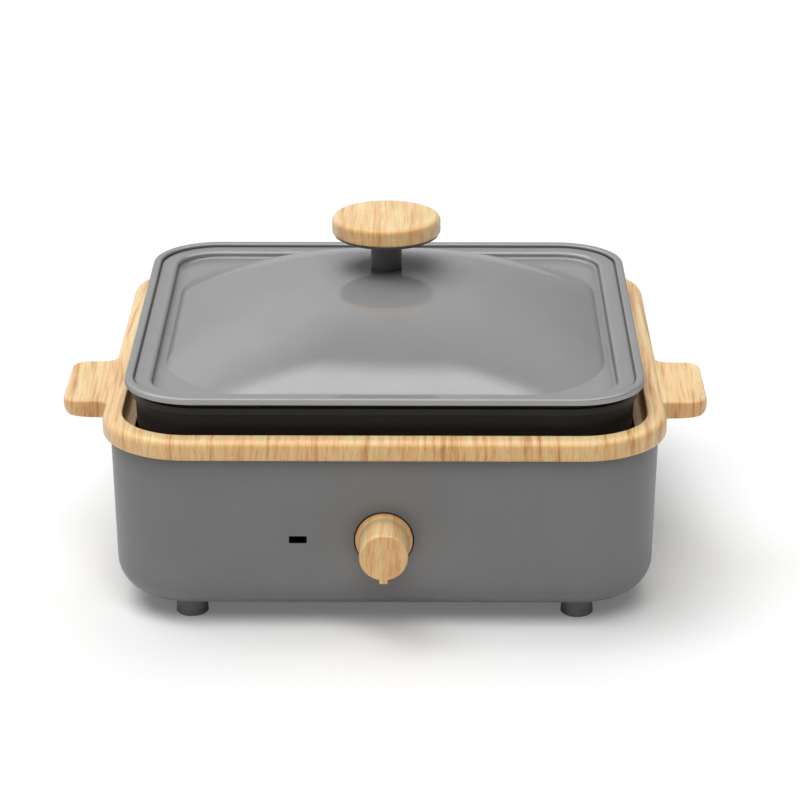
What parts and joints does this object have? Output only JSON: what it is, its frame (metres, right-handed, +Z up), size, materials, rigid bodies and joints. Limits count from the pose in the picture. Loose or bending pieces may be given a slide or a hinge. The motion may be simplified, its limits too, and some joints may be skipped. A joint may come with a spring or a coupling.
{
  "type": "electric teppanyaki grill",
  "caption": "Square table-top electric grill: wood-framed casing with side grips, lift-out pan over a bent heating element, lift-off domed lid, rotary heat control.",
  "frame": {"origin": "middle of the object's outline, on the surface that the feet stand on", "axes": "+X to the object's right as seen from its front, +Y to the back, +Z up"},
  "size_m": [0.375, 0.345, 0.2015],
  "materials": {
    "grey_casing": "satin grey paint on moulded heat-resistant plastic",
    "beech": "light wood, vertical and front-to-back grain, clear satin oil",
    "lid_metal": "satin grey coating on pressed aluminium",
    "pan_coating": "dark non-stick coating on cast aluminium",
    "dark_plastic": "dark grey plastic, fine texture",
    "foot_rubber": "dark grey rubber",
    "window_plastic": "black smoked window",
    "steel_sheet": "bare steel sheet",
    "shield_sheet": "heat-darkened steel sheet",
    "element_sheath": "dull dark sheath",
    "ceramic": "white ceramic, unglazed",
    "screw_steel": "zinc-plated steel",
    "copper": "copper tube",
    "brass": "brass contacts",
    "wire_cover": "silicone wire cover",
    "lamp_glass": "neon lamp",
    "black_plastic": "black moulded plastic"
  },
  "bodies": {
    "base": {"outer_casing": "grey_casing", "bottom_cover": "grey_casing", "foot_front_left": "foot_rubber", "foot_front_right": "foot_rubber", "foot_rear_left": "foot_rubber", "foot_rear_right": "foot_rubber", "foot_screws": "screw_steel", "cover_screws": "screw_steel", "wood_frame": "beech", "frame_screws": "screw_steel", "heat_shield": "shield_sheet", "heating_element": "element_sheath", "element_bushes": "ceramic", "element_clips": "steel_sheet", "pan_posts": "ceramic", "thermostat_bracket": "steel_sheet", "bracket_screws": "screw_steel", "thermostat_case": "ceramic", "thermostat_bulb": "copper", "capillary_tube": "copper", "indicator_lens": "window_plastic", "indicator_lamp": "lamp_glass", "inlet_socket": "black_plastic", "inlet_pins": "brass", "inlet_screws": "screw_steel", "terminal_block": "ceramic", "thermal_fuse": "ceramic", "supply_wires": "wire_cover", "control_wires": "wire_cover", "fuse_wires": "wire_cover", "earth_wire": "wire_cover"},
    "knob": {"control_knob": "beech", "knob_insert": "black_plastic", "thermostat_shaft": "screw_steel"},
    "pan": {"cooking_pan": "pan_coating"},
    "lid": {"lid_shell": "lid_metal", "lid_knob_stem": "dark_plastic", "lid_knob_cap": "beech", "lid_washer": "screw_steel", "lid_screw": "screw_steel"}
  },
  "joints": [
    {"name": "heat_control", "type": "hinge", "parent": "base", "child": "knob", "pos_m": [0, -0.1457, 0.0565], "axis": [0, 1, 0], "range_deg": [0, 270]},
    {"name": "pan_lift", "type": "slide", "parent": "base", "child": "pan", "axis": [0, 0, 1], "range_m": [0, 0.08]},
    {"name": "lid_lift", "type": "slide", "parent": "pan", "child": "lid", "axis": [0, 0, 1], "range_m": [0, 0.08]}
  ]
}
